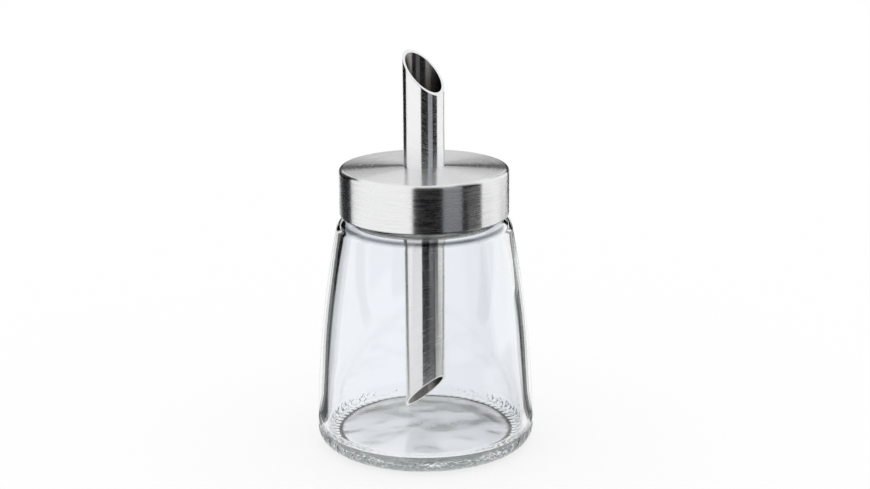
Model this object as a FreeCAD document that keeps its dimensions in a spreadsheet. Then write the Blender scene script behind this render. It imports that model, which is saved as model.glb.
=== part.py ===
import FreeCAD, Part
import math
import os

import Sketcher

# A table sugar dispenser: a pressed glass jar that widens towards its base,
# a drawn steel cap on its neck, and a steel pour tube through the cap's centre.
# The Z axis is the axis of all three; the origin is the centre of the base.

doc = FreeCAD.newDocument("SugarDispenser")

# ------------------------------------------------------------ sizes, mm and degrees
SIZES = {
    # glass jar: the shoulder is the corner under the cap, before it is rounded
    "jar_radius": 36.7,
    "shoulder_radius": 28.5,
    "shoulder_height": 78.3,
    "wall_bow_radius": 375.0,
    "heel_radius": 5.0,
    "shoulder_round": 5.4,
    "wall_at_heel": 3.0,
    "wall_at_shoulder": 2.5,
    "floor_thickness": 4.6,
    "floor_rise": 0.8,
    "inner_heel_round": 3.0,
    "inner_shoulder_round": 2.6,
    # underside: a ring that the jar stands on, a step up inside it, then a shallow dome
    "ring_width": 2.2,
    "step_width": 1.2,
    "step_height": 1.0,
    "punt_height": 2.6,
    # neck, under the cap
    "neck_ledge": 0.6,
    "neck_wall": 2.5,
    "neck_inner_round": 1.4,
    "lip_round": 0.9,
    # steel cap, drawn from sheet, with a hem turned in at its open end
    "cap_inset": 0.35,
    "cap_height": 15.8,
    "cap_crown": 0.5,
    "cap_sheet": 0.5,
    "cap_edge_round": 1.3,
    "cap_lift": 0.44,
    "hem_width": 1.4,
    "hem_height": 1.4,
    "hem_round": 0.6,
    # pour tube, cut obliquely at both ends
    "tube_radius": 6.8,
    "tube_wall": 0.9,
    "tube_above_cap": 38.25,
    "tube_above_floor": 4.3,
    "tube_clearance": 0.1,
    "cut_angle": 45.0,
    "cut_azimuth": 139.0,
    "cut_margin": 2.0,
}

# sums of sizes that more than one sub-part uses
RING_OUTSIDE = "jar_radius - heel_radius"
RING_INSIDE = "jar_radius - heel_radius - ring_width"
STEP_INSIDE = "jar_radius - heel_radius - ring_width - step_width"
NECK_RADIUS = "shoulder_radius - shoulder_round + neck_ledge"
BORE_RADIUS = "shoulder_radius - shoulder_round + neck_ledge - neck_wall"
FLOOR_MIDDLE = "floor_thickness + floor_rise"
INNER_SHOULDER_RADIUS = "shoulder_radius - wall_at_shoulder"
INNER_SHOULDER_HEIGHT = "shoulder_height - wall_at_shoulder"
CAP_RADIUS = "shoulder_radius - cap_inset"
CAP_BOTTOM = "shoulder_height + cap_lift"
CAP_TOP = "shoulder_height + cap_lift + cap_height"
LIP_TOP = "shoulder_height + cap_lift + cap_height - cap_sheet"
TUBE_BOTTOM = "floor_thickness + floor_rise + tube_above_floor"
TUBE_LENGTH = (
    "shoulder_height + cap_lift + cap_height + tube_above_cap"
    " - floor_thickness - floor_rise - tube_above_floor"
)

sheet = doc.addObject("Spreadsheet::Sheet", "Sizes")
for row, (alias, value) in enumerate(SIZES.items(), start=1):
    sheet.set(f"A{row}", alias)
    sheet.set(f"B{row}", str(value))
    sheet.setAlias(f"B{row}", alias)
doc.recompute()


# ------------------------------------------------------------ sums and dimensions
def bound(formula):
    """The same sum, reading its sizes from the sheet."""
    return " ".join(f"Sizes.{word}" if word in SIZES else word for word in formula.split())


def number(formula):
    """The sum's value, where a sketch is first drawn."""
    total = 0.0
    sign = 1.0
    for word in formula.split():
        if word in ("+", "-"):
            sign = 1.0 if word == "+" else -1.0
        else:
            total += sign * (SIZES[word] if word in SIZES else float(word))
    return total


def dimension(sketch, kind, places, formula):
    """Add one dimension to a sketch and tie it to the sheet."""
    index = sketch.addConstraint(Sketcher.Constraint(kind, *places, number(formula)))
    sketch.setExpression(f"Constraints[{index}]", bound(formula))


# ------------------------------------------------------------ bodies and sketches
START, END, CENTRE = 1, 2, 3
ORIGIN = (-1, 1)
UP_AXIS = -2


def new_body(label):
    body = doc.addObject("PartDesign::Body", label)
    body.Label = label
    return body


def sketch_on(body, name, role):
    plane = next(item for item in body.Origin.OriginFeatures if item.Role == role)
    sketch = body.newObject("Sketcher::SketchObject", name)
    sketch.AttachmentSupport = [(plane, "")]
    sketch.MapMode = "FlatFace"
    return sketch


def place_point(sketch, point, across, up):
    """Hold a point of a sketch at two sums, measured from the sketch's origin."""
    for kind, formula in (("DistanceX", across), ("DistanceY", up)):
        if number(formula) == 0.0:
            axis = UP_AXIS if kind == "DistanceX" else -1
            sketch.addConstraint(Sketcher.Constraint("PointOnObject", *point, axis))
        else:
            dimension(sketch, kind, ORIGIN + point, formula)


def arc_through(start, end, radius, side):
    """An arc of this radius from start to end; side, 1 or -1, says where its centre lies."""
    chord = end - start
    across = FreeCAD.Vector(-chord.y, chord.x, 0).normalize()
    offset = math.sqrt(radius ** 2 - (chord.Length / 2) ** 2)
    centre = (start + end) * 0.5 + across * (offset * side)
    middle = centre - across * (radius * side)
    return Part.Arc(start, middle, end)


def draw_outline(sketch, corners, arcs):
    """Draw a closed outline through corners, each a pair of sums (across, up).

    arcs gives the sides that are curved: side number -> (radius sum, or None for an arc
    centred on the up axis; 1 or -1 for where the centre lies). The others are straight.
    """
    points = [FreeCAD.Vector(number(across), number(up), 0) for across, up in corners]
    sides = []
    for side, start in enumerate(points):
        end = points[(side + 1) % len(points)]
        if side not in arcs:
            index = sketch.addGeometry(Part.LineSegment(start, end), False)
            sides.append((index, START, END))
            continue
        formula, centre_side = arcs[side]
        if formula is None:
            across, up = start.x ** 2 - end.x ** 2, start.y ** 2 - end.y ** 2
            middle = (across + up) / (2 * (start.y - end.y))
            radius = math.hypot(start.x, start.y - middle)
        else:
            radius = number(formula)
        curve = arc_through(start, end, radius, centre_side)
        index = sketch.addGeometry(curve, False)
        backwards = sketch.getPoint(index, START).distanceToPoint(start) > 1e-6
        sides.append((index, END, START) if backwards else (index, START, END))
    for side, (index, first, last) in enumerate(sides):
        before = sides[side - 1]
        sketch.addConstraint(Sketcher.Constraint("Coincident", before[0], before[2], index, first))
        place_point(sketch, (index, first), *corners[side])
        if side in arcs and arcs[side][0] is None:
            sketch.addConstraint(Sketcher.Constraint("PointOnObject", index, CENTRE, UP_AXIS))
        elif side in arcs:
            dimension(sketch, "Radius", (index,), arcs[side][0])


def turn(body, sketch, name):
    """Revolve a sketch once round its up axis."""
    solid = body.newObject("PartDesign::Revolution", name)
    solid.Profile = sketch
    solid.ReferenceAxis = (sketch, ["V_Axis"])
    solid.Angle = 360
    doc.recompute()
    return solid


def round_edges(body, base, name, rings, radius):
    """Round the circular edges of base that lie at the given (radius, height) pairs."""
    wanted = [(number(across), number(up)) for across, up in rings]
    chosen = []
    for index, edge in enumerate(base.Shape.Edges, start=1):
        if edge.Degenerated or not isinstance(edge.Curve, Part.Circle):
            continue
        for across, up in wanted:
            if math.hypot(edge.Curve.Radius - across, edge.Curve.Center.z - up) < 0.01:
                chosen.append(f"Edge{index}")
    if len(chosen) < len(wanted):
        raise RuntimeError(f"{name}: found {len(chosen)} of {len(wanted)} edges to round")
    fillet = body.newObject("PartDesign::Fillet", name)
    fillet.Base = (base, chosen)
    fillet.setExpression("Radius", bound(radius))
    doc.recompute()
    return fillet


# ------------------------------------------------------------ glass jar
def make_jar():
    """Thick pressed glass: conical, slightly bowed wall, rounded shoulder, thick base."""
    body = new_body("glass_jar")
    profile = sketch_on(body, "JarProfile", "XZ_Plane")
    corners = [
        ("0", "punt_height"),
        (STEP_INSIDE, "step_height"),
        (RING_INSIDE, "0"),
        (RING_OUTSIDE, "0"),
        ("jar_radius", "heel_radius"),
        ("shoulder_radius", "shoulder_height"),
        (NECK_RADIUS, "shoulder_height"),
        (NECK_RADIUS, LIP_TOP),
        (BORE_RADIUS, LIP_TOP),
        (BORE_RADIUS, INNER_SHOULDER_HEIGHT),
        (INNER_SHOULDER_RADIUS, INNER_SHOULDER_HEIGHT),
        ("jar_radius - wall_at_heel", "floor_thickness"),
        ("0", FLOOR_MIDDLE),
    ]
    arcs = {
        0: (None, -1),
        3: ("heel_radius", 1),
        4: ("wall_bow_radius", 1),
        10: ("wall_bow_radius", -1),
        11: (None, 1),
    }
    draw_outline(profile, corners, arcs)
    solid = turn(body, profile, "JarBlank")
    shoulder = [("shoulder_radius", "shoulder_height")]
    solid = round_edges(body, solid, "Shoulder", shoulder, "shoulder_round")
    inner_heel = [("jar_radius - wall_at_heel", "floor_thickness")]
    solid = round_edges(body, solid, "InnerHeel", inner_heel, "inner_heel_round")
    inner_shoulder = [(INNER_SHOULDER_RADIUS, INNER_SHOULDER_HEIGHT)]
    solid = round_edges(body, solid, "InnerShoulder", inner_shoulder, "inner_shoulder_round")
    bore_edge = [(BORE_RADIUS, INNER_SHOULDER_HEIGHT)]
    solid = round_edges(body, solid, "BoreEdge", bore_edge, "neck_inner_round")
    lip = [(NECK_RADIUS, LIP_TOP), (BORE_RADIUS, LIP_TOP)]
    round_edges(body, solid, "Lip", lip, "lip_round")
    return body


# ------------------------------------------------------------ steel cap
def make_cap():
    """A shallow drawn cup with a crowned top, upside down on the lip, holed for the tube."""
    body = new_body("steel_cap")
    profile = sketch_on(body, "CapProfile", "XZ_Plane")
    hole = "tube_radius + tube_clearance"
    inside = CAP_RADIUS + " - cap_sheet"
    hem_inside = CAP_RADIUS + " - hem_width"
    hem_top = CAP_BOTTOM + " + hem_height"
    corners = [
        (hole, LIP_TOP + " + cap_crown"),
        (inside, LIP_TOP),
        (inside, hem_top),
        (hem_inside, hem_top),
        (hem_inside, CAP_BOTTOM),
        (CAP_RADIUS, CAP_BOTTOM),
        (CAP_RADIUS, CAP_TOP),
        (hole, CAP_TOP + " + cap_crown"),
    ]
    draw_outline(profile, corners, {0: (None, -1), 6: (None, 1)})
    solid = turn(body, profile, "CapBlank")
    solid = round_edges(body, solid, "TopEdge", [(CAP_RADIUS, CAP_TOP)], "cap_edge_round")
    solid = round_edges(body, solid, "InnerEdge", [(inside, LIP_TOP)], "cap_edge_round - cap_sheet")
    hem = [(CAP_RADIUS, CAP_BOTTOM), (hem_inside, CAP_BOTTOM)]
    round_edges(body, solid, "Hem", hem, "hem_round")
    return body


# ------------------------------------------------------------ pour tube
def draw_mitre(sketch, tip_height, above):
    """The area that one oblique cut takes away, seen from the side; the tip is at +across."""
    reach = number("tube_radius + tube_radius + cut_margin")
    rise = reach * math.tan(math.radians(SIZES["cut_angle"]))
    far_side = "- tube_radius - cut_margin"
    sign = "+" if above else "-"
    beyond = f"{tip_height} {sign} cut_margin"
    tip = FreeCAD.Vector(number("tube_radius"), number(tip_height), 0)
    foot = FreeCAD.Vector(number(far_side), tip.y - rise if above else tip.y + rise, 0)
    far_corner = FreeCAD.Vector(foot.x, number(beyond), 0)
    near_corner = FreeCAD.Vector(tip.x, far_corner.y, 0)
    points = [foot, tip, near_corner, far_corner]
    sides = []
    for start, end in zip(points, points[1:] + points[:1]):
        sides.append(sketch.addGeometry(Part.LineSegment(start, end), False))
    for before, index in zip(sides[-1:] + sides[:-1], sides):
        sketch.addConstraint(Sketcher.Constraint("Coincident", before, END, index, START))
    slant, near_side, outer_side, far_wall = sides
    place_point(sketch, (near_side, START), "tube_radius", tip_height)
    place_point(sketch, (far_wall, START), far_side, beyond)
    sketch.addConstraint(Sketcher.Constraint("Vertical", near_side))
    sketch.addConstraint(Sketcher.Constraint("Horizontal", outer_side))
    sketch.addConstraint(Sketcher.Constraint("Vertical", far_wall))
    angle = math.radians(SIZES["cut_angle"])
    lean = Sketcher.Constraint("Angle", slant, angle if above else -angle)
    index = sketch.addConstraint(lean)
    sketch.setExpression(f"Constraints[{index}]", bound("cut_angle" if above else "- cut_angle"))


def make_tube():
    """A straight steel tube; its two slanting cuts leave the long side at cut_azimuth."""
    body = new_body("pour_tube")
    section = sketch_on(body, "TubeSection", "XY_Plane")
    up = FreeCAD.Vector(0, 0, 1)
    for formula in ("tube_radius", "tube_radius - tube_wall"):
        circle = Part.Circle(FreeCAD.Vector(0, 0, 0), up, number(formula))
        index = section.addGeometry(circle, False)
        section.addConstraint(Sketcher.Constraint("Coincident", index, CENTRE, *ORIGIN))
        dimension(section, "Radius", (index,), formula)
    straight = body.newObject("PartDesign::Pad", "StraightTube")
    straight.Profile = section
    straight.setExpression("Length", bound(TUBE_LENGTH))
    doc.recompute()
    slants = sketch_on(body, "Mitres", "XZ_Plane")
    draw_mitre(slants, TUBE_LENGTH, above=True)
    draw_mitre(slants, "0", above=False)
    mitred = body.newObject("PartDesign::Pocket", "MitredEnds")
    mitred.Profile = slants
    mitred.Type = "ThroughAll"
    mitred.SideType = "Symmetric"
    doc.recompute()
    if mitred.Shape.Volume >= straight.Shape.Volume:
        raise RuntimeError("the oblique cuts miss the tube")
    body.setExpression("Placement.Base.z", bound(TUBE_BOTTOM))
    body.setExpression("Placement.Rotation.Angle", bound("cut_azimuth"))
    doc.recompute()
    return body


# ------------------------------------------------------------ build, check, write
PARTS = [make_jar(), make_cap(), make_tube()]
doc.recompute()
for item in doc.Objects:
    if "Invalid" in item.State or "Error" in item.State:
        raise RuntimeError(f"{item.Label} did not build: {item.State}")
for body in PARTS:
    if body.Shape.isNull() or not body.Shape.isValid():
        raise RuntimeError(f"{body.Label} has no valid shape")

os.makedirs("parts", exist_ok=True)
for body in PARTS:
    shape = body.Shape
    shape.exportStep(f"parts/{body.Label}.step")
    box = shape.BoundBox
    print(
        f"{body.Label}: {len(shape.Solids)} solid, {shape.Volume / 1000:.2f} cm3,"
        f" x {box.XMin:.2f}..{box.XMax:.2f}, z {box.ZMin:.2f}..{box.ZMax:.2f}"
    )
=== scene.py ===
# %% [markdown]
# # A sugar dispenser
#
# The dispenser is three lathe-turned shapes on one upright axis: a thick pressed-glass
# jar, a brushed steel cap and a steel pour tube that runs through the cap. Nothing on it
# moves. Glass shows only what it bends and mirrors, and brushed steel shows long soft
# bands, so most of the work here is in clean curved surfaces and in what stands round
# the object for them to mirror.
#
# The first lines load the construction model. Sizes and places come from it.

# %% Load the frame
import math

import bpy
from mathutils import Matrix, Vector


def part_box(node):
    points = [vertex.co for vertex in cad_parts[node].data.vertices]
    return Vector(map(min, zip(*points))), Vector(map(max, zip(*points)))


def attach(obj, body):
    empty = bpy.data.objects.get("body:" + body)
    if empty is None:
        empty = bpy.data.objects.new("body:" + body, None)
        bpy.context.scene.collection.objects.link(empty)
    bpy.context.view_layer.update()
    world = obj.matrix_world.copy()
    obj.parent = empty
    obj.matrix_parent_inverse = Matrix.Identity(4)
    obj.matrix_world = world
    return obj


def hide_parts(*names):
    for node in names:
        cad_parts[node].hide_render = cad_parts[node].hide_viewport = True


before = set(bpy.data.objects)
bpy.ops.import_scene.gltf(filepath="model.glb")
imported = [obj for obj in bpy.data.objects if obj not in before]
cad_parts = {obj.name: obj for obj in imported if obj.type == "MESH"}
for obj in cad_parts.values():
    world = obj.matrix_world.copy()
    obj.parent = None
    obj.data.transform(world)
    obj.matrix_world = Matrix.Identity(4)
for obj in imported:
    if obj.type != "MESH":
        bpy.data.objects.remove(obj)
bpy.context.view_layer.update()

MM = 0.001
jar_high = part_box("glass_jar")[1]
cap_low, cap_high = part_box("steel_cap")
tube_low, tube_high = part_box("pour_tube")
JAR_RADIUS = jar_high[0] / MM
LIP_HEIGHT = jar_high[2] / MM
CAP_RADIUS = cap_high[0] / MM
CAP_BOTTOM = cap_low[2] / MM
CAP_TOP = cap_high[2] / MM
TUBE_RADIUS = tube_high[0] / MM
TUBE_BOTTOM = tube_low[2] / MM
TUBE_TOP = tube_high[2] / MM
print(f"jar {2 * JAR_RADIUS:.1f} mm wide, cap {2 * CAP_RADIUS:.1f} mm, tip at {TUBE_TOP:.1f} mm")

# %% [markdown]
# ## Two small helpers
#
# Colours are written as the hex codes that a paint or web chart gives. Those are sRGB,
# and shaders work in linear light, so one function turns them. The other helper adds a
# node, sets it up and links it, so that each tree below reads as a list of its nodes.


# %% Colour and node helpers
def linear(code):
    """A hex colour such as "C8CACC" as linear red, green, blue and alpha."""
    channels = [int(code[start:start + 2], 16) / 255 for start in (0, 2, 4)]
    bent = [c / 12.92 if c <= 0.04045 else ((c + 0.055) / 1.055) ** 2.4 for c in channels]
    return (*bent, 1.0)


def add_node(tree, kind, inputs=None, **settings):
    """Add one node: settings are its properties, inputs are values or links by socket."""
    node = tree.nodes.new(kind)
    for name, value in settings.items():
        setattr(node, name, value)
    for name, value in (inputs or {}).items():
        if isinstance(value, bpy.types.NodeSocket):
            tree.links.new(value, node.inputs[name])
        else:
            node.inputs[name].default_value = value
    return node


print(f"middle grey 808080 is {linear('808080')[0]:.3f} in linear light")

# %% [markdown]
# ## The camera
#
# A product shot: the camera stands a little over half a metre away, is tilted down by
# about fifteen degrees, and uses a short telephoto lens so that the jar's sides stay nearly
# parallel. It points a hair to the right of the axis, and its roll is a third of a degree.

# %% Camera
CAMERA_DISTANCE = 0.5577
CAMERA_HEIGHT = 0.2214
CAMERA_TILT = math.radians(15.39)
CAMERA_YAW = math.radians(0.36)
CAMERA_ROLL = math.radians(-0.3)
SENSOR_WIDTH = 36.0
LENS = 71.66

camera_data = bpy.data.cameras.new("camera")
camera_data.sensor_width = SENSOR_WIDTH
camera_data.lens = LENS
camera = bpy.data.objects.new("camera", camera_data)
camera.matrix_world = (
    Matrix.Translation((0.0, -CAMERA_DISTANCE, CAMERA_HEIGHT))
    @ Matrix.Rotation(-CAMERA_YAW, 4, "Z")
    @ Matrix.Rotation(math.pi / 2 - CAMERA_TILT, 4, "X")
    @ Matrix.Rotation(CAMERA_ROLL, 4, "Z")
)
bpy.context.scene.collection.objects.link(camera)
bpy.context.scene.camera = camera
print(f"camera {CAMERA_DISTANCE * 1000:.0f} mm in front, {CAMERA_HEIGHT * 1000:.0f} mm up")

# %% [markdown]
# ## One lathe for all three pieces
#
# Each piece is a shape of revolution: press, spinning tool and tube mill all make round
# things. A Geometry Nodes tree does what the lathe does. It takes a half outline, drawn as
# a row of points, lays a grid of as many columns as there are steps round the axis, and
# puts each grid point at its outline point's radius and height. Merging points that meet
# closes the seam and the two poles. It also writes a UV map: U runs along the outline in
# millimetres and V once round the axis, so that brush lines can follow the turning.

# %% Lathe tree
WELD_DISTANCE = 0.001 * MM


def make_lathe():
    """A tree that turns a row of outline points round the Z axis into a closed solid."""
    tree = bpy.data.node_groups.new("lathe", "GeometryNodeTree")
    tree.is_modifier = True
    sockets = tree.interface
    sockets.new_socket("Outline", in_out="INPUT", socket_type="NodeSocketGeometry")
    sockets.new_socket("Steps Round", in_out="INPUT", socket_type="NodeSocketInt")
    sockets.new_socket("Material", in_out="INPUT", socket_type="NodeSocketMaterial")
    sockets.new_socket("Solid", in_out="OUTPUT", socket_type="NodeSocketGeometry")
    given = add_node(tree, "NodeGroupInput").outputs
    outline, steps = given["Outline"], given["Steps Round"]

    # The grid: one row for each outline point, one column for each step, and one to close.
    size = add_node(tree, "GeometryNodeAttributeDomainSize", {"Geometry": outline})
    rows = size.outputs["Point Count"]
    columns = add_node(tree, "FunctionNodeIntegerMath", {0: steps, 1: 1}, operation="ADD")
    grid = add_node(tree, "GeometryNodeMeshGrid", {
        "Vertices X": columns.outputs[0], "Vertices Y": rows})
    index = add_node(tree, "GeometryNodeInputIndex").outputs[0]
    row = add_node(tree, "FunctionNodeIntegerMath", {0: index, 1: rows}, operation="MODULO")
    column = add_node(
        tree, "FunctionNodeIntegerMath", {0: index, 1: rows}, operation="DIVIDE_FLOOR")

    # The outline point of each row: radius in X, length run so far in Y, height in Z.
    where = add_node(tree, "GeometryNodeInputPosition").outputs[0]
    sample = add_node(tree, "GeometryNodeSampleIndex", data_type="FLOAT_VECTOR", domain="POINT")
    tree.links.new(outline, sample.inputs["Geometry"])
    tree.links.new(where, sample.inputs["Value"])
    tree.links.new(row.outputs[0], sample.inputs["Index"])
    point = add_node(tree, "ShaderNodeSeparateXYZ", {0: sample.outputs[0]}).outputs

    # The turn: the radius swings round the axis with the column.
    turn = add_node(tree, "ShaderNodeMath", {0: column.outputs[0], 1: steps}, operation="DIVIDE")
    angle = add_node(
        tree, "ShaderNodeMath", {0: turn.outputs[0], 1: math.tau}, operation="MULTIPLY")
    cosine = add_node(tree, "ShaderNodeMath", {0: angle.outputs[0]}, operation="COSINE")
    sine = add_node(tree, "ShaderNodeMath", {0: angle.outputs[0]}, operation="SINE")
    across = add_node(
        tree, "ShaderNodeMath", {0: point["X"], 1: cosine.outputs[0]}, operation="MULTIPLY")
    along = add_node(
        tree, "ShaderNodeMath", {0: point["X"], 1: sine.outputs[0]}, operation="MULTIPLY")
    place = add_node(tree, "ShaderNodeCombineXYZ", {
        "X": across.outputs[0], "Y": along.outputs[0], "Z": point["Z"]})

    # The UV map is stored before the seam closes, so that it doesn't run back there.
    map_value = add_node(tree, "ShaderNodeCombineXYZ", {"X": point["Y"], "Y": turn.outputs[0]})
    on_points = add_node(
        tree, "GeometryNodeFieldOnDomain", {"Value": map_value.outputs[0]},
        data_type="FLOAT_VECTOR", domain="POINT")
    mapped = add_node(
        tree, "GeometryNodeStoreNamedAttribute",
        {"Geometry": grid.outputs["Mesh"], "Name": "UVMap", "Value": on_points.outputs[0]},
        data_type="FLOAT2", domain="CORNER")
    turned = add_node(tree, "GeometryNodeSetPosition", {
        "Geometry": mapped.outputs[0], "Position": place.outputs[0]})
    closed = add_node(tree, "GeometryNodeMergeByDistance", {
        "Geometry": turned.outputs[0], "Distance": WELD_DISTANCE})
    smooth = add_node(tree, "GeometryNodeSetShadeSmooth", {"Geometry": closed.outputs[0]})
    plain = add_node(tree, "GeometryNodeRealizeInstances", {"Geometry": smooth.outputs[0]})
    finish = add_node(tree, "GeometryNodeSetMaterial", {
        "Geometry": plain.outputs[0], "Material": given["Material"]})
    add_node(tree, "NodeGroupOutput", {"Solid": finish.outputs[0]})
    return tree


lathe = make_lathe()
print(f"lathe tree: {len(lathe.nodes)} nodes")

# %% [markdown]
# ## Drawing outlines
#
# An outline is a list of (radius, height) points in millimetres. Real edges are never
# sharp: glass edges are fire-polished and steel ones are rolled, so corners are rounded
# with small arcs. Next to each arc a support point holds the flat stretch flat, because
# smooth shading would otherwise bend the light across the whole flat.

# %% Outline helpers
SUPPORT = 0.12
ARC_STEP = 12.0


def straight(start, end, spacing):
    """The inner points of a straight run: a support near each end, the rest evenly spread."""
    start, end = Vector(start), Vector(end)
    run = (end - start).length
    if run < 4 * SUPPORT:
        return []
    count = max(1, math.ceil(run / spacing))
    shares = [SUPPORT / run] + [step / count for step in range(1, count)] + [1 - SUPPORT / run]
    return [tuple(start.lerp(end, share)) for share in shares]


def rounded(corners, spacing=3.0):
    """Straight runs between corners (radius, height, rounding), with arcs at the corners."""
    ends = []
    for number, (across, up, rounding) in enumerate(corners):
        here = Vector((across, up))
        if rounding == 0 or number in (0, len(corners) - 1):
            ends.append([here])
            continue
        back = (Vector(corners[number - 1][:2]) - here).normalized()
        ahead = (Vector(corners[number + 1][:2]) - here).normalized()
        half = back.angle(ahead) / 2
        reach = rounding / math.tan(half)
        centre = here + (back + ahead).normalized() * (rounding / math.sin(half))
        first, last = here + back * reach - centre, here + ahead * reach - centre
        sweep = first.angle_signed(last)
        steps = max(3, round(abs(math.degrees(sweep)) / ARC_STEP))
        turned = [Matrix.Rotation(-sweep * step / steps, 2) @ first for step in range(steps + 1)]
        ends.append([centre + offset for offset in turned])
    points = []
    for number, row in enumerate(ends):
        points.extend(tuple(point) for point in row)
        if number + 1 < len(ends):
            points.extend(straight(row[-1], ends[number + 1][0], spacing))
    return points


def along_circle(centre, start, end, spacing):
    """Points from start to end round a centre, both ends included."""
    first, last = Vector(start) - centre, Vector(end) - centre
    sweep = first.angle_signed(last)
    count = max(2, math.ceil(abs(sweep) * first.length / spacing))
    return [tuple(centre + Matrix.Rotation(-sweep * step / count, 2) @ first)
            for step in range(count + 1)]


print(f"arcs turn about {ARC_STEP:.0f} degrees a step, supports {SUPPORT} mm from them")

# %% [markdown]
# ## From outline to piece
#
# The outline becomes the points of a small mesh, the lathe tree hangs on it as a modifier,
# and once every tree is on, the result is frozen into a plain mesh. Its volume is printed,
# because a volume above zero is the sign that the faces point outwards.


# %% Turning and freezing
def add_tree(piece, tree, values):
    """Put a Geometry Nodes tree on a piece, its inputs set by their sockets' identifiers."""
    modifier = piece.modifiers.new(tree.name, "NODES")
    modifier.node_group = tree
    for item in tree.interface.items_tree:
        if item.in_out == "INPUT" and item.name in values:
            modifier[item.identifier] = values[item.name]


def make_turned(name, outline, steps_round, material):
    """Turn an outline on the lathe tree and return the piece, with the modifier still live."""
    run = 0.0
    rows = []
    for number, (across, up) in enumerate(outline):
        if number:
            run += math.dist(outline[number - 1], outline[number])
        rows.append((across * MM, run, up * MM))
    mesh = bpy.data.meshes.new(name)
    mesh.from_pydata(rows, [], [])
    piece = bpy.data.objects.new(name, mesh)
    bpy.context.scene.collection.objects.link(piece)
    add_tree(piece, lathe, {"Steps Round": steps_round, "Material": material})
    return piece


def freeze(piece):
    """Replace the piece's mesh by what its modifiers give, and take the modifiers off."""
    evaluated = piece.evaluated_get(bpy.context.evaluated_depsgraph_get())
    mesh = bpy.data.meshes.new_from_object(evaluated)
    piece.modifiers.clear()
    piece.data = mesh
    mesh.name = piece.name
    # The grid brings an empty material slot along. Clearing the slots sets every face to the
    # first, so the one material goes back as that.
    materials = [material for material in mesh.materials if material]
    mesh.materials.clear()
    for material in materials:
        mesh.materials.append(material)
    mesh.calc_loop_triangles()
    volume = 0.0
    for triangle in mesh.loop_triangles:
        a, b, c = (mesh.vertices[number].co for number in triangle.vertices)
        volume += a.dot(b.cross(c)) / 6
    print(f"{piece.name}: {len(mesh.loop_triangles)} triangles, {volume * 1e6:.2f} cm3")


print("ready to turn")

# %% [markdown]
# ## World and floor
#
# Glass and polished metal are lit by what they mirror. The world is plain white, and a sheet
# of white paper lies under the jar, so everything is lit evenly from all round. Light Path
# tells the paper who looks at it. To the camera it is mostly a plain white of strength 1,
# with a share of real paper mixed in, which keeps the object's shadow. To steel it is plain
# white. To glass it is whitest away from the jar and shaded right under it, where the thick
# base stands on it. What is seen straight through the glass is a touch cooler than the room,
# and that goes for paper and world alike, so that no edge shows where one meets the other.

# %% World
COOL_WHITE = "F4F7FE"

scene = bpy.context.scene
scene.view_settings.view_transform = "Standard"


def cool_through_glass(tree):
    """White, or the cool white where a ray came straight through glass, mirrored nowhere."""
    path = add_node(tree, "ShaderNodeLightPath").outputs
    unmirrored = add_node(tree, "ShaderNodeMath", {
        0: path["Glossy Depth"], 1: 0.5}, operation="LESS_THAN")
    straight_through = add_node(tree, "ShaderNodeMath", {
        0: path["Is Transmission Ray"], 1: unmirrored.outputs[0]}, operation="MULTIPLY")
    cool = add_node(tree, "ShaderNodeMix", {
        "Factor": straight_through.outputs[0], "A": linear("FFFFFF"), "B": linear(COOL_WHITE)},
        data_type="RGBA")
    return cool.outputs[2]


world = bpy.data.worlds.new("white studio")
world.use_nodes = True
sky = world.node_tree.nodes["Background"]
sky.inputs["Strength"].default_value = 1.0
world.node_tree.links.new(cool_through_glass(world.node_tree), sky.inputs["Color"])
scene.world = world
print("white world")

# %% Floor
FLOOR_RADIUS = 12.0
FLOOR_HEIGHT = -0.0003
FLOOR_CORNERS = 64
SHADOW_SHARE = 0.25
SHADED_WITHIN = 0.03
UNSHADED_FROM = 0.045
WHITE_SHADED = 0.36
WHITE_UNSHADED = 0.85

floor_mesh = bpy.data.meshes.new("floor")
floor_ring = []
for step in range(FLOOR_CORNERS):
    turn = math.tau * step / FLOOR_CORNERS
    floor_ring.append((FLOOR_RADIUS * math.cos(turn), FLOOR_RADIUS * math.sin(turn), FLOOR_HEIGHT))
floor_mesh.from_pydata(floor_ring, [], [list(range(FLOOR_CORNERS))])
floor = bpy.data.objects.new("floor", floor_mesh)
scene.collection.objects.link(floor)

# Uncoated paper, quite matt: it takes a soft shadow and mirrors nothing.
paper = bpy.data.materials.new("white paper sweep")
paper.use_nodes = True
tree = paper.node_tree
lit = tree.nodes["Principled BSDF"]
lit.inputs["Base Color"].default_value = linear("FEFEFE")
lit.inputs["Roughness"].default_value = 1.0
lit.inputs["Specular IOR Level"].default_value = 0.0
white = add_node(tree, "ShaderNodeEmission", {"Strength": 1.0})
tree.links.new(cool_through_glass(tree), white.inputs["Color"])
path = add_node(tree, "ShaderNodeLightPath").outputs
to_camera = add_node(tree, "ShaderNodeMath", {
    0: path["Is Camera Ray"], 1: 1.0 - SHADOW_SHARE}, operation="MULTIPLY")
spot = add_node(tree, "ShaderNodeTexCoord").outputs["Object"]
away = add_node(tree, "ShaderNodeVectorMath", {0: spot}, operation="LENGTH").outputs["Value"]
unshaded = add_node(tree, "ShaderNodeMapRange", {
    "Value": away, "From Min": SHADED_WITHIN, "From Max": UNSHADED_FROM,
    "To Min": WHITE_SHADED, "To Max": WHITE_UNSHADED})
to_glass = add_node(tree, "ShaderNodeMath", {
    0: path["Is Transmission Ray"], 1: unshaded.outputs[0]}, operation="MULTIPLY")
to_steel = add_node(tree, "ShaderNodeMath", {
    0: to_camera.outputs[0], 1: path["Is Glossy Ray"]}, operation="MAXIMUM")
share = add_node(tree, "ShaderNodeMath", {
    0: to_steel.outputs[0], 1: to_glass.outputs[0]}, operation="MAXIMUM")
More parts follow.
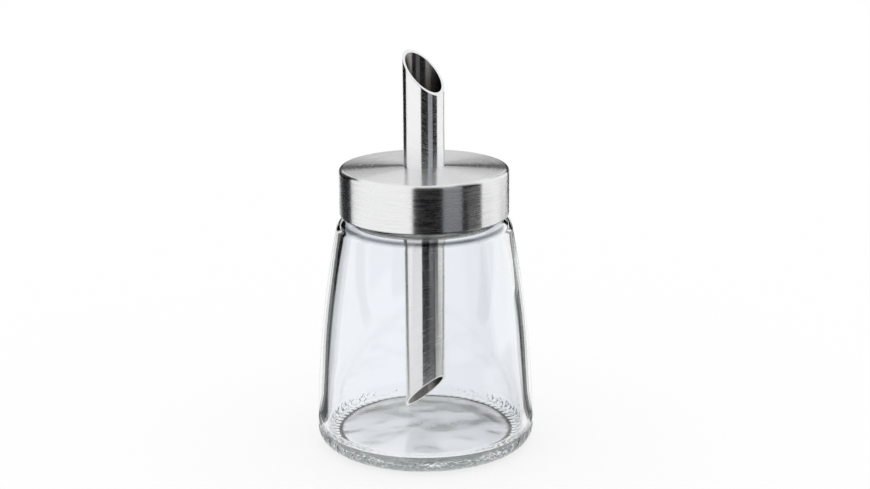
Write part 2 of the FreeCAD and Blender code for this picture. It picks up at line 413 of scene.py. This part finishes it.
blend = add_node(tree, "ShaderNodeMixShader", {
    0: share.outputs[0], 1: lit.outputs[0], 2: white.outputs[0]})
tree.links.new(blend.outputs[0], tree.nodes["Material Output"].inputs["Surface"])
paper.cycles.emission_sampling = "NONE"
floor_mesh.materials.append(paper)
print(f"white floor, {2 * FLOOR_RADIUS:.0f} m across")

# %% [markdown]
# ## Cards to mirror
#
# A white room alone would leave steel as pale as paper and the jar nearly unseen. So black
# and grey cards stand round the set, as they do in a real one. Those in front and to the
# right give the cap and the tube their dark bands, and the one behind darkens the cap's top.
# The strips that lie on the floor, from close beside the jar outwards, are what the curved
# sides of the glass mirror inside their own wall: they draw the dark lines down both sides.
#
# The cards show only in mirrors. Light Path's Glossy Depth counts how often a ray has been
# mirrored on its way, and with none the card is clear, so from any side the background stays
# white and no card blocks the view.

# %% Cards
CARD_FAR = 0.45
CARD_HIGH = 0.45
CARD_LIFT = 0.0015
CARD_STEP = 4.0


def make_card_material(tone):
    """Matt card of one tone, which shows only to rays that something has mirrored."""
    material = bpy.data.materials.new(f"card {tone}")
    material.use_nodes = True
    tree = material.node_tree
    tree.nodes.clear()
    path = add_node(tree, "ShaderNodeLightPath").outputs
    mirrored = add_node(
        tree, "ShaderNodeMath", {0: path["Glossy Depth"], 1: 0.5}, operation="GREATER_THAN")
    clear = add_node(tree, "ShaderNodeBsdfTransparent")
    paint = add_node(tree, "ShaderNodeEmission", {"Color": linear(tone), "Strength": 1.0})
    chosen = add_node(tree, "ShaderNodeMixShader", {
        0: mirrored.outputs[0], 1: clear.outputs[0], 2: paint.outputs[0]})
    add_node(tree, "ShaderNodeOutputMaterial", {"Surface": chosen.outputs[0]})
    material.cycles.emission_sampling = "NONE"
    return material


def make_card(name, tone, rows):
    """A card that is a strip of rows, each (radius, height, first and last azimuth).

    Lengths are in metres. Azimuths are in degrees from the front and turn to the right.
    """
    steps = max(2, math.ceil((rows[-1][3] - rows[-1][2]) / CARD_STEP))
    points = []
    for radius, up, first, last in rows:
        for step in range(steps + 1):
            azimuth = math.radians(first + (last - first) * step / steps)
            points.append((radius * math.sin(azimuth), -radius * math.cos(azimuth), up))
    faces = []
    for row in range(len(rows) - 1):
        for step in range(steps):
            corner = row * (steps + 1) + step
            faces.append((corner, corner + 1, corner + steps + 2, corner + steps + 1))
    mesh = bpy.data.meshes.new(name)
    mesh.from_pydata(points, [], faces)
    mesh.materials.append(make_card_material(tone))
    card = bpy.data.objects.new(name, mesh)
    card.visible_camera = False
    card.visible_diffuse = False
    card.visible_shadow = False
    scene.collection.objects.link(card)


def lying(*rows):
    """Rows of a card that lies on the floor, each (radius, first and last azimuth)."""
    return [(radius, CARD_LIFT, first, last) for radius, first, last in rows]


def rising(sector, near, elevation):
    """Rows of a card that lies on the floor and rises at its far edge to an elevation."""
    top = math.tan(math.radians(elevation)) * CARD_FAR
    return lying((near, *sector), (CARD_FAR, *sector)) + [(CARD_FAR, top, *sector)]


def standing(sector, low, high):
    """Rows of a card that stands at the far edge between two heights."""
    return [(CARD_FAR, low, *sector), (CARD_FAR, high, *sector)]


BLACK = "141415"
SOFT_BLACK = "505356"
GREY = "9A9EA2"
PALE_GREY = "B0B0AE"
CARDS = {
    "card_left_near": (SOFT_BLACK, lying(
        (0.042, -112, -94), (0.07, -120, -98), (0.1, -129, -105), (0.15, -139, -106),
        (0.28, -146, -110))),
    "card_left_far": (BLACK, lying(
        (0.28, -146, -110), (CARD_FAR, -155, -112)) + [(CARD_FAR, CARD_HIGH, -155, -112)]),
    "card_front_near": (BLACK, lying((0.04, -15, 60), (0.26, -15, 60))),
    "card_right_side": (PALE_GREY, lying((0.06, 60, 98), (0.2, 60, 106))),
    "card_front": (BLACK, rising((-15, 24), 0.26, 60)),
    "card_front_right": (GREY, rising((24, 50), 0.26, 60)),
    "card_right": (BLACK, rising((50, 80), 0.2, 60)),
    "card_right_behind": (SOFT_BLACK, lying((0.3, 148, 178), (CARD_FAR, 154, 178))),
    "card_right_near": (SOFT_BLACK, lying(
        (0.042, 97, 112), (0.07, 106, 120), (0.1, 111, 129), (0.15, 115, 139),
        (0.28, 126, 147))),
    "card_right_far": (BLACK, lying(
        (0.28, 134, 147), (CARD_FAR, 146, 155)) + [(CARD_FAR, CARD_HIGH, 146, 155)]),
    "card_behind": (BLACK, standing((155, 205), 0.05, 0.212)),
}
for card_name, (tone, rows) in CARDS.items():
    make_card(card_name, tone, rows)
print(f"{len(CARDS)} cards")

# %% [markdown]
# ## Glass
#
# Soda-lime glass, pressed in a mould: clear, a little blue-green through a thick part,
# with an index of 1.52. Its surface came off a hot iron mould and was then fire-polished,
# so it is smooth but not flat, and long shallow ripples bend what is seen through it. The
# green comes from Volume Absorption, because it grows with the way that light goes inside.
#
# The base keeps more of the mould. The heel has a grain like orange peel, and the middle of
# the base is slightly frosted. Up at the inner shoulder the glass turns sharply and throws
# light aside, so a grey line runs round it: that line is painted shade, a band where the
# glass's colour turns dark grey. The three are limited by fades, each with a place where it
# starts and one where it is full.

# %% Glass: what it is made of
GLASS_IOR = 1.52
CLEAR = "FEFEFE"

glass = bpy.data.materials.new("pressed soda-lime glass")
glass.use_nodes = True
tree = glass.node_tree
shader = tree.nodes["Principled BSDF"]
shader.inputs["Transmission Weight"].default_value = 1.0
shader.inputs["IOR"].default_value = GLASS_IOR
absorption = add_node(tree, "ShaderNodeVolumeAbsorption", {
    "Color": linear("C0D6D3"), "Density": 14.0})
tree.links.new(absorption.outputs[0], tree.nodes["Material Output"].inputs["Volume"])
print(f"clear glass, index {GLASS_IOR}")


# %% Glass: where each finish lies
def reach_from_axis(tree, parts):
    """How far a point is from the Z axis, from its separate coordinates."""
    flat = add_node(tree, "ShaderNodeCombineXYZ", {"X": parts["X"], "Y": parts["Y"]})
    length = add_node(tree, "ShaderNodeVectorMath", {0: flat.outputs[0]}, operation="LENGTH")
    return length.outputs["Value"]


CORNER_REACH = 27.5

place = add_node(tree, "ShaderNodeTexCoord").outputs["Object"]
parts = add_node(tree, "ShaderNodeSeparateXYZ", {0: place}).outputs
reach = reach_from_axis(tree, parts)
# Heights, or distances from the axis, in millimetres: where a fade starts, where it is full.
fades = {
    "base": (parts["Z"], 6.5, 3.5),
    "heel": (reach, 31.5, 33.5),
    "middle": (reach, 30.5, 28.5),
    "corner above": (parts["Z"], 75.4, 74.9),
    "corner below": (parts["Z"], 73.6, 74.5),
}
masks = {}
for name, (value, start, full) in fades.items():
    fade = add_node(tree, "ShaderNodeMapRange", {
        "Value": value, "From Min": start * MM, "From Max": full * MM})
    masks[name] = fade.outputs[0]
masks["inner face"] = add_node(tree, "ShaderNodeMath", {
    0: reach, 1: CORNER_REACH * MM}, operation="LESS_THAN").outputs[0]

# How strong each finish, and the painted shade at the corner, is where it is full, and the
# masks that limit it.
finishes = {
    "grain": (0.42, "heel", "base"),
    "frost": (0.28, "base", "middle"),
    # corner: painted shade, a dark grey band round the inner shoulder, not a finish of the glass
    "corner": (1.0, "corner above", "corner below", "inner face"),
}
amounts = {}
for name, (amount, *limits) in finishes.items():
    for limit in limits:
        product = add_node(
            tree, "ShaderNodeMath", {0: amount, 1: masks[limit]}, operation="MULTIPLY")
        amount = product.outputs[0]
    amounts[name] = amount
print(f"{len(amounts)} finishes within {len(masks)} masks")

# %% Glass: frost, painted corner shade, grain and ripples
GRAIN_SIZE = 2.0
GRAIN_DEPTH = 3.0
RIPPLE_SIZE = 12.0
RIPPLE_DEPTH = 0.02

tree.links.new(amounts["frost"], shader.inputs["Roughness"])
# The corner amount paints shade: the glass's colour turns dark grey in a band at the inner
# shoulder.
painted_corner_shade = add_node(tree, "ShaderNodeMix", {
    "Factor": amounts["corner"], "A": linear(CLEAR), "B": linear("40444A")},
    data_type="RGBA")
tree.links.new(painted_corner_shade.outputs[2], shader.inputs["Base Color"])
grain = add_node(tree, "ShaderNodeTexNoise", {
    "Vector": place, "Scale": 1 / (GRAIN_SIZE * MM), "Detail": 2.0, "Roughness": 0.5})
heel_grain = add_node(tree, "ShaderNodeMath", {
    0: grain.outputs[0], 1: amounts["grain"]}, operation="MULTIPLY")
heel_relief = add_node(tree, "ShaderNodeBump", {
    "Height": heel_grain.outputs[0], "Strength": 1.0, "Distance": GRAIN_DEPTH * MM})
drawn_out = add_node(tree, "ShaderNodeMapping", {"Vector": place, "Scale": (1.0, 1.0, 0.35)})
ripples = add_node(tree, "ShaderNodeTexNoise", {
    "Vector": drawn_out.outputs[0], "Scale": 1 / (RIPPLE_SIZE * MM), "Detail": 1.0})
wall_relief = add_node(tree, "ShaderNodeBump", {
    "Height": ripples.outputs[0], "Normal": heel_relief.outputs[0],
    "Strength": 1.0, "Distance": RIPPLE_DEPTH * MM})
tree.links.new(wall_relief.outputs[0], shader.inputs["Normal"])
print(f"heel grain {GRAIN_SIZE:.0f} mm, wall ripples {RIPPLE_SIZE:.0f} mm")

# %% [markdown]
# ## Brushed steel
#
# Stainless steel, turned against an abrasive belt: the belt leaves thousands of fine
# scratches that run round the axis, on the cap's side, on its top and along the tube. Light
# spreads across such lines and stays sharp along them. The shader's Anisotropic value does
# that, once it knows the direction: Tangent gives the way round the Z axis at each point,
# and a quarter turn points the spread across the lines. On the flat top the lines are calmer.
#
# Real scratches are a few hundredths of a millimetre apart, too fine to show at this size.
# They are drawn about half a millimetre apart instead, as streaks.

# %% Steel materials
BRUSH_SPACING = 0.5
STREAK_HEIGHT = 0.1
STREAK_STRENGTH = 0.07
SMOOTHER = -0.05
ROUGHER = 0.1
CALM_ON_TOP = 0.3


def make_steel(name, colour, roughness, streaks_round=0):
    """Stainless steel, brushed if it is said how many streaks go once round the axis."""
    material = bpy.data.materials.new(name)
    material.use_nodes = True
    tree = material.node_tree
    shader = tree.nodes["Principled BSDF"]
    shader.inputs["Metallic"].default_value = 1.0
    shader.inputs["Base Color"].default_value = linear(colour)
    shader.inputs["Roughness"].default_value = roughness
    if not streaks_round:
        return material
    shader.inputs["Anisotropic"].default_value = 1.0
    shader.inputs["Anisotropic Rotation"].default_value = 0.25
    tangent = add_node(tree, "ShaderNodeTangent", direction_type="RADIAL", axis="Z")
    tree.links.new(tangent.outputs[0], shader.inputs["Tangent"])
    place = add_node(tree, "ShaderNodeUVMap", uv_map="UVMap")
    lines = add_node(tree, "ShaderNodeMapping", {
        "Vector": place.outputs[0], "Scale": (1 / BRUSH_SPACING, streaks_round, 1.0)})
    streaks = add_node(tree, "ShaderNodeTexNoise", {
        "Vector": lines.outputs[0], "Scale": 1.0, "Detail": 3.0, "Roughness": 0.6})
    facing = add_node(tree, "ShaderNodeNewGeometry").outputs["True Normal"]
    upward = add_node(tree, "ShaderNodeSeparateXYZ", {0: facing}).outputs["Z"]
    calm = add_node(tree, "ShaderNodeMapRange", {
        "Value": upward, "From Min": 0.3, "From Max": 0.9,
        "To Min": 1.0, "To Max": CALM_ON_TOP})
    levels = add_node(tree, "ShaderNodeMapRange", {
        "Value": streaks.outputs[0], "From Min": 0.3, "From Max": 0.7,
        "To Min": SMOOTHER, "To Max": ROUGHER})
    spread = add_node(tree, "ShaderNodeMath", {
        0: levels.outputs[0], 1: calm.outputs[0], 2: roughness}, operation="MULTIPLY_ADD")
    tree.links.new(spread.outputs[0], shader.inputs["Roughness"])
    strength = add_node(tree, "ShaderNodeMath", {
        0: calm.outputs[0], 1: STREAK_STRENGTH}, operation="MULTIPLY")
    relief = add_node(tree, "ShaderNodeBump", {
        "Height": streaks.outputs[0], "Strength": strength.outputs[0],
        "Distance": STREAK_HEIGHT * MM})
    tree.links.new(relief.outputs[0], shader.inputs["Normal"])
    return material


# Bright steel with long satin streaks: soft bands, smeared up and down.
cap_steel = make_steel("brushed stainless steel cap", "EFEFF0", 0.25, 14)
# The same on a narrow tube, finer ground: its bands have clearer edges.
tube_steel = make_steel("brushed stainless steel tube", "F4F4F5", 0.2, 5)
# Left as it came off the rollers and the weld: duller and greyer, and darkened further as
# painted shade, so that the mouth looks deep.
mill_steel_with_painted_shade = make_steel("mill finish with painted shade inside the tube", "9C9A97", 0.3, 14)
# Left as the press drew it: a little greyer and duller than the ground outside.
drawn_steel = make_steel("drawn inside of the cap", "C8C8C6", 0.35, 14)
# Ground and polished after the cut: a bright even rim with no direction.
cut_steel = make_steel("polished cut steel", "EDEDEE", 0.22)
print("five finishes of steel")

# %% [markdown]
# ## The jar
#
# The wall widens downwards and bows out a little, and the base is thick, with a shallow
# dome under it so that it stands on a ring. Both walls are arcs of one large radius, and
# every corner is an arc that touches what it joins, as in a turned mould. Only the sizes
# here are chosen, and where the arcs meet is worked out from them. The spacings say how
# far apart an arc's points lie: closer where it is tight, and so where it bends light most.

# %% Jar sizes
HEEL_ROUND = 5.0
RING_WIDTH = 2.2
RING_OUTSIDE = JAR_RADIUS - HEEL_ROUND
RING_INSIDE = RING_OUTSIDE - RING_WIDTH
STEP_WIDTH = 1.2
STEP_INSIDE = RING_INSIDE - STEP_WIDTH
STEP_HEIGHT = 1.0
PUNT_HEIGHT = 2.6
SHOULDER_HEIGHT = 78.3
SHOULDER_RADIUS = 28.5
SHOULDER_ROUND = 5.4
WALL_BOW = 375.0
NECK_RADIUS = 23.7
BORE_RADIUS = 21.2
LIP_ROUND = 0.9
BORE_ROUND = 1.4
SHOULDER_WALL = 2.5
HEEL_WALL = 3.0
FLOOR_EDGE = 4.6
FLOOR_MIDDLE = 5.4
INNER_SHOULDER = (SHOULDER_RADIUS - SHOULDER_WALL, SHOULDER_HEIGHT - SHOULDER_WALL)
INNER_SHOULDER_ROUND = 2.6
INNER_HEEL = (JAR_RADIUS - HEEL_WALL, FLOOR_EDGE)
INNER_HEEL_ROUND = 3.0
CORNER_SPACING = 0.5
SHOULDER_SPACING = 0.8
PUNT_SPACING = 1.5
FLOOR_SPACING = 2.5
WALL_SPACING = 3.5
RING_STEPS = 5
HEEL_ROUNDS = 20
print(f"floor {FLOOR_MIDDLE - PUNT_HEIGHT:.1f} mm thick in the middle, standing ring "
      f"{2 * RING_OUTSIDE:.1f} mm across")


# %% Jar outline
def wall_centre(start, end, radius):
    """Centre of the circle through two points, the lower first, that bows off the axis."""
    start, end = Vector(start), Vector(end)
    chord = end - start
    inward = Vector((-chord.y, chord.x)).normalized()
    return (start + end) / 2 + inward * math.sqrt(radius ** 2 - (chord.length / 2) ** 2)


def dome(edge, top):
    """Centre and radius of the circle from a point up to this height on the axis."""
    rise = top - edge[1]
    radius = (edge[0] ** 2 + rise ** 2) / (2 * rise)
    return Vector((0, top - radius)), radius


def corner_centre(centre, radius, height):
    """A circle that touches a wall from inside: its centre at this height.

    The radius is the wall's, less the circle's own.
    """
    return Vector((centre.x + math.sqrt(radius ** 2 - (height - centre.y) ** 2), height))


def draw_jar():
    """The jar's half outline: from the middle underneath, outside, lip, inside and floor."""
    outer = wall_centre((JAR_RADIUS, HEEL_ROUND), (SHOULDER_RADIUS, SHOULDER_HEIGHT), WALL_BOW)
    inner = wall_centre(INNER_HEEL, INNER_SHOULDER, WALL_BOW)

    shoulder = corner_centre(outer, WALL_BOW - SHOULDER_ROUND, SHOULDER_HEIGHT - SHOULDER_ROUND)
    shoulder_low = outer + (shoulder - outer).normalized() * WALL_BOW
    inner_shoulder = corner_centre(
        inner, WALL_BOW - INNER_SHOULDER_ROUND, INNER_SHOULDER[1] - INNER_SHOULDER_ROUND)
    inner_low = inner + (inner_shoulder - inner).normalized() * WALL_BOW

    # The heel's circle touches the wall and the floor's dome, and a few rounds settle it.
    floor_centre, floor_radius = dome(INNER_HEEL, FLOOR_MIDDLE)
    heel = Vector((INNER_HEEL[0] - INNER_HEEL_ROUND, INNER_HEEL[1] + INNER_HEEL_ROUND))
    for _ in range(HEEL_ROUNDS):
        lift = floor_centre.y + math.sqrt((floor_radius + INNER_HEEL_ROUND) ** 2 - heel.x ** 2)
        heel = corner_centre(inner, WALL_BOW - INNER_HEEL_ROUND, lift)
    heel_high = inner + (heel - inner).normalized() * WALL_BOW
    heel_low = floor_centre + (heel - floor_centre).normalized() * floor_radius

    punt_centre = dome((STEP_INSIDE, STEP_HEIGHT), PUNT_HEIGHT)[0]
    points = along_circle(
        punt_centre, (0, PUNT_HEIGHT), (STEP_INSIDE, STEP_HEIGHT), PUNT_SPACING)
    points += [
        (STEP_INSIDE + STEP_WIDTH / 3, 0.66 * STEP_HEIGHT),
        (STEP_INSIDE + 2 * STEP_WIDTH / 3, 0.33 * STEP_HEIGHT)]
    points += [(RING_INSIDE + RING_WIDTH * step / RING_STEPS, 0.0)
               for step in range(RING_STEPS + 1)]
    points += along_circle(
        Vector((RING_OUTSIDE, HEEL_ROUND)), (RING_OUTSIDE, 0), (JAR_RADIUS, HEEL_ROUND),
        CORNER_SPACING)[1:]
    points += along_circle(outer, (JAR_RADIUS, HEEL_ROUND), shoulder_low, WALL_SPACING)[1:]
    points += along_circle(
        shoulder, shoulder_low, (shoulder.x, SHOULDER_HEIGHT), SHOULDER_SPACING)[1:]
    points += rounded([
        (shoulder.x, SHOULDER_HEIGHT, 0), (NECK_RADIUS, SHOULDER_HEIGHT, 0),
        (NECK_RADIUS, LIP_HEIGHT, LIP_ROUND), (BORE_RADIUS, LIP_HEIGHT, LIP_ROUND),
        (BORE_RADIUS, INNER_SHOULDER[1], BORE_ROUND),
        (inner_shoulder.x, INNER_SHOULDER[1], 0)])[1:]
    points += along_circle(
        inner_shoulder, (inner_shoulder.x, INNER_SHOULDER[1]), inner_low, CORNER_SPACING)[1:]
    points += along_circle(inner, inner_low, heel_high, WALL_SPACING)[1:]
    points += along_circle(heel, heel_high, heel_low, CORNER_SPACING)[1:]
    points += along_circle(floor_centre, heel_low, (0, FLOOR_MIDDLE), FLOOR_SPACING)[1:]
    return points


jar_outline = draw_jar()
print(f"jar outline: {len(jar_outline)} points")

# %% [markdown]
# ## Under the jar
#
# The standing ring is pressed with small ribs, which grip the table and show through the
# glass as a ring of grey beads. Inside the ring the underside isn't even: low lumps, as
# pressed glass has them, make the light and dark clouds that are seen in the base. Both
# bend light, so both are real shapes and not bump: a second tree lifts the points of the
# underside, by a cosine round the ring and by a coarse noise inside it.


# %% Underside tree
def make_underside():
    """A tree that shapes the underside: ribs on the standing ring, low lumps inside it."""
    tree = bpy.data.node_groups.new("underside", "GeometryNodeTree")
    tree.is_modifier = True
    sockets = tree.interface
    sockets.new_socket("Jar", in_out="INPUT", socket_type="NodeSocketGeometry")
    sockets.new_socket("Material", in_out="INPUT", socket_type="NodeSocketMaterial")
    sockets.new_socket("Count", in_out="INPUT", socket_type="NodeSocketInt")
    for name in (
            "Depth", "Inside", "Outside", "Fade", "Rib Top", "Lump Height", "Lumps Per Metre",
            "Lump Top"):
        sockets.new_socket(name, in_out="INPUT", socket_type="NodeSocketFloat")
    sockets.new_socket("Jar", in_out="OUTPUT", socket_type="NodeSocketGeometry")
    given = add_node(tree, "NodeGroupInput").outputs
    place = add_node(tree, "GeometryNodeInputPosition").outputs[0]
    parts = add_node(tree, "ShaderNodeSeparateXYZ", {0: place}).outputs
    radius = reach_from_axis(tree, parts)

    # Ribs: a cosine round the axis, full on the ring and faded out on both sides of it.
    angle = add_node(
        tree, "ShaderNodeMath", {0: parts["Y"], 1: parts["X"]}, operation="ARCTAN2")
    waves = add_node(
        tree, "ShaderNodeMath", {0: angle.outputs[0], 1: given["Count"]}, operation="MULTIPLY")
    wave = add_node(tree, "ShaderNodeMath", {0: waves.outputs[0]}, operation="COSINE")
    groove = add_node(tree, "ShaderNodeMapRange", {
        "Value": wave.outputs[0], "From Min": -1.0, "From Max": 1.0}).outputs[0]
    start = add_node(
        tree, "ShaderNodeMath", {0: given["Inside"], 1: given["Fade"]}, operation="SUBTRACT")
    end = add_node(
        tree, "ShaderNodeMath", {0: given["Outside"], 1: given["Fade"]}, operation="ADD")
    rise = add_node(tree, "ShaderNodeMapRange", {
        "Value": radius, "From Min": start.outputs[0], "From Max": given["Inside"]},
        interpolation_type="SMOOTHSTEP").outputs[0]
    fall = add_node(tree, "ShaderNodeMapRange", {
        "Value": radius, "From Min": end.outputs[0], "From Max": given["Outside"]},
        interpolation_type="SMOOTHSTEP").outputs[0]
    on_ring = add_node(
        tree, "ShaderNodeMath", {0: parts["Z"], 1: given["Rib Top"]}, operation="LESS_THAN")
    depth = given["Depth"]
    for factor in (groove, rise, fall, on_ring.outputs[0]):
        depth = add_node(tree, "ShaderNodeMath", {0: depth, 1: factor}, operation="MULTIPLY")
        depth = depth.outputs[0]

    # Lumps: a coarse noise on the dome, faded out towards the ring.
    hills = add_node(tree, "ShaderNodeTexNoise", {
        "Vector": place, "Scale": given["Lumps Per Metre"], "Detail": 1.0, "Roughness": 0.4,
        "Distortion": 0.3})
    hill = add_node(tree, "ShaderNodeMapRange", {
        "Value": hills.outputs[0], "From Min": 0.25, "From Max": 0.75}).outputs[0]
    within = add_node(tree, "ShaderNodeMapRange", {
        "Value": radius, "From Min": given["Inside"], "From Max": start.outputs[0]}).outputs[0]
    on_dome = add_node(
        tree, "ShaderNodeMath", {0: parts["Z"], 1: given["Lump Top"]}, operation="LESS_THAN")
    lump = given["Lump Height"]
    for factor in (hill, within, on_dome.outputs[0]):
        lump = add_node(tree, "ShaderNodeMath", {0: lump, 1: factor}, operation="MULTIPLY")
        lump = lump.outputs[0]

    both = add_node(tree, "ShaderNodeMath", {0: depth, 1: lump}, operation="ADD")
    lift = add_node(tree, "ShaderNodeCombineXYZ", {"Z": both.outputs[0]})
    pressed = add_node(tree, "GeometryNodeSetPosition", {
        "Geometry": given["Jar"], "Offset": lift.outputs[0]})
    plain = add_node(tree, "GeometryNodeRealizeInstances", {"Geometry": pressed.outputs[0]})
    finish = add_node(tree, "GeometryNodeSetMaterial", {
        "Geometry": plain.outputs[0], "Material": given["Material"]})
    add_node(tree, "NodeGroupOutput", {"Jar": finish.outputs[0]})
    return tree


RIB_COUNT = 72
RIB_DEPTH = 0.1
RIB_SHIFT = 0.2
RIB_FADE = 1.0
RIB_TOP = 2.0
LUMP_HEIGHT = 1.3
LUMP_SIZE = 13.0
LUMP_TOP = 4.5
underside = make_underside()
print(f"{RIB_COUNT} ribs, {math.tau * RING_OUTSIDE / RIB_COUNT:.1f} mm apart")

# %% Jar
STEPS_PER_RIB = 8

jar = make_turned("jar", jar_outline, STEPS_PER_RIB * RIB_COUNT, glass)
add_tree(jar, underside, {
    "Material": glass,
    "Count": RIB_COUNT,
    "Depth": RIB_DEPTH * MM,
    "Inside": (RING_INSIDE + RIB_SHIFT) * MM,
    "Outside": (RING_OUTSIDE + RIB_SHIFT) * MM,
    "Fade": RIB_FADE * MM,
    "Rib Top": RIB_TOP * MM,
    "Lump Height": LUMP_HEIGHT * MM,
    "Lumps Per Metre": 1 / (LUMP_SIZE * MM),
    "Lump Top": LUMP_TOP * MM,
})
freeze(jar)
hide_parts("glass_jar")
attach(jar, "root")

# %% [markdown]
# ## The cap
#
# A shallow cup drawn from half-millimetre sheet, upside down on the jar's lip. Its top edge
# is rolled, its open edge is turned in as a hem, and the tube passes through a hole in its
# middle. The top isn't quite flat: it rises by half a millimetre towards the hole, as
# drawn sheet does, and that bends the light on it into a fan. The outline is drawn flat,
# and the crown is added to the points of the top.
#
# The belt reaches only the outside. A helper goes through the faces and picks each one's
# finish by where its middle lies and how far it faces up.


# %% Finishes by face
def give_finishes(piece, materials, choose):
    """Give each face the material that choose(reach, height, upward) numbers, in mm."""
    mesh = piece.data
    mesh.materials.clear()
    for material in materials:
        mesh.materials.append(material)
    for face in mesh.polygons:
        middle = sum((mesh.vertices[number].co for number in face.vertices), Vector())
        middle /= len(face.vertices)
        face.material_index = choose(middle.xy.length / MM, middle.z / MM, face.normal.z)


print("faces can differ in finish")

# %% Cap
CAP_STEPS = 256
SHEET = 0.5
HOLE_CLEARANCE = 0.1
HOLE_RADIUS = TUBE_RADIUS + HOLE_CLEARANCE
CAP_EDGE_ROUND = 1.3
HEM_WIDTH = 1.4
HEM_HEIGHT = 1.4
HEM_ROUND = 0.6
CROWN = 0.5
CAP_EDGE_HEIGHT = CAP_TOP - CROWN

cap_inside = CAP_RADIUS - SHEET
hem_inside = CAP_RADIUS - HEM_WIDTH
cap_outline = rounded([
    (HOLE_RADIUS, CAP_EDGE_HEIGHT, 0),
    (HOLE_RADIUS, CAP_EDGE_HEIGHT - SHEET, 0),
    (cap_inside, CAP_EDGE_HEIGHT - SHEET, CAP_EDGE_ROUND - SHEET),
    (cap_inside, CAP_BOTTOM + HEM_HEIGHT, 0),
    (hem_inside, CAP_BOTTOM + HEM_HEIGHT, 0),
    (hem_inside, CAP_BOTTOM, HEM_ROUND),
    (CAP_RADIUS, CAP_BOTTOM, HEM_ROUND),
    (CAP_RADIUS, CAP_EDGE_HEIGHT, CAP_EDGE_ROUND),
    (HOLE_RADIUS, CAP_EDGE_HEIGHT, 0),
])
crowned = []
for across, up in cap_outline:
    share = (CAP_RADIUS ** 2 - across ** 2) / (CAP_RADIUS ** 2 - HOLE_RADIUS ** 2)
    on_top = up > CAP_EDGE_HEIGHT - CAP_EDGE_ROUND
    crowned.append((across, up + CROWN * share if on_top else up))
cap = make_turned("cap", crowned, CAP_STEPS, cap_steel)
freeze(cap)


def cap_finish(reach, height, upward):
    """Drawn steel below and inside the middle of the sheet, brushed steel elsewhere."""
    inside = reach < CAP_RADIUS - SHEET / 2 and height < CAP_TOP - SHEET / 2
    return 1 if inside and upward < 0.5 else 0


give_finishes(cap, (cap_steel, drawn_steel), cap_finish)
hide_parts("steel_cap")
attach(cap, "root")

# %% [markdown]
# ## The pour tube
#
# A length of welded tube, cut at 45 degrees at both ends so that it digs into the sugar
# and pours cleanly. Turned as a plain ring first, it is then sheared: each point moves
# down at the top end, and up at the bottom end, by its distance from the long side. The
# outline starts and ends on the wall of the bore, so that both rims are whole.

# %% Tube
TUBE_STEPS = 192
TUBE_WALL = 0.9
TUBE_EDGE = 0.12
JOIN_DEPTH = 1.0
SKIN = 0.02
CUT_AZIMUTH = math.radians(139.0)
CUT_SLOPE = math.tan(math.radians(45.0))

bore = TUBE_RADIUS - TUBE_WALL
tube_outline = rounded([
    (bore, TUBE_TOP - JOIN_DEPTH, 0),
    (bore, TUBE_BOTTOM, TUBE_EDGE),
    (TUBE_RADIUS, TUBE_BOTTOM, TUBE_EDGE),
    (TUBE_RADIUS, TUBE_TOP, TUBE_EDGE),
    (bore, TUBE_TOP, TUBE_EDGE),
    (bore, TUBE_TOP - JOIN_DEPTH, 0),
], spacing=4.0)
tube = make_turned("tube", tube_outline, TUBE_STEPS, tube_steel)
freeze(tube)
long_side = Vector((math.cos(CUT_AZIMUTH), math.sin(CUT_AZIMUTH)))
middle_height = (TUBE_TOP + TUBE_BOTTOM) / 2
half_height = (TUBE_TOP - TUBE_BOTTOM) / 2
for vertex in tube.data.vertices:
    share = (vertex.co.z / MM - middle_height) / half_height
    distance = TUBE_RADIUS * MM - vertex.co.xy.dot(long_side)
    vertex.co.z -= distance * CUT_SLOPE * share


def tube_finish(reach, height, upward):
    """Mill finish with painted shade on the bore, cut steel across the wall, brushed steel
    outside.
    """
    if reach < bore + SKIN:
        return 1
    return 2 if reach < TUBE_RADIUS - SKIN else 0


# The bore's mill steel carries painted shade: its darker grey makes the mouth look deep.
give_finishes(tube, (tube_steel, mill_steel_with_painted_shade, cut_steel), tube_finish)
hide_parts("pour_tube")
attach(tube, "root")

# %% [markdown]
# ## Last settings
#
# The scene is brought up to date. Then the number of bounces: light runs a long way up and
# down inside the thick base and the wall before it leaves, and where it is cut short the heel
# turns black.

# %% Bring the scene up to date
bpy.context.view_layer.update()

# %% Bounces
cycles = bpy.context.scene.cycles
cycles.max_bounces = 32
cycles.transmission_bounces = 32
cycles.glossy_bounces = 12
cycles.transparent_max_bounces = 24
print(f"light may bounce {cycles.max_bounces} times")
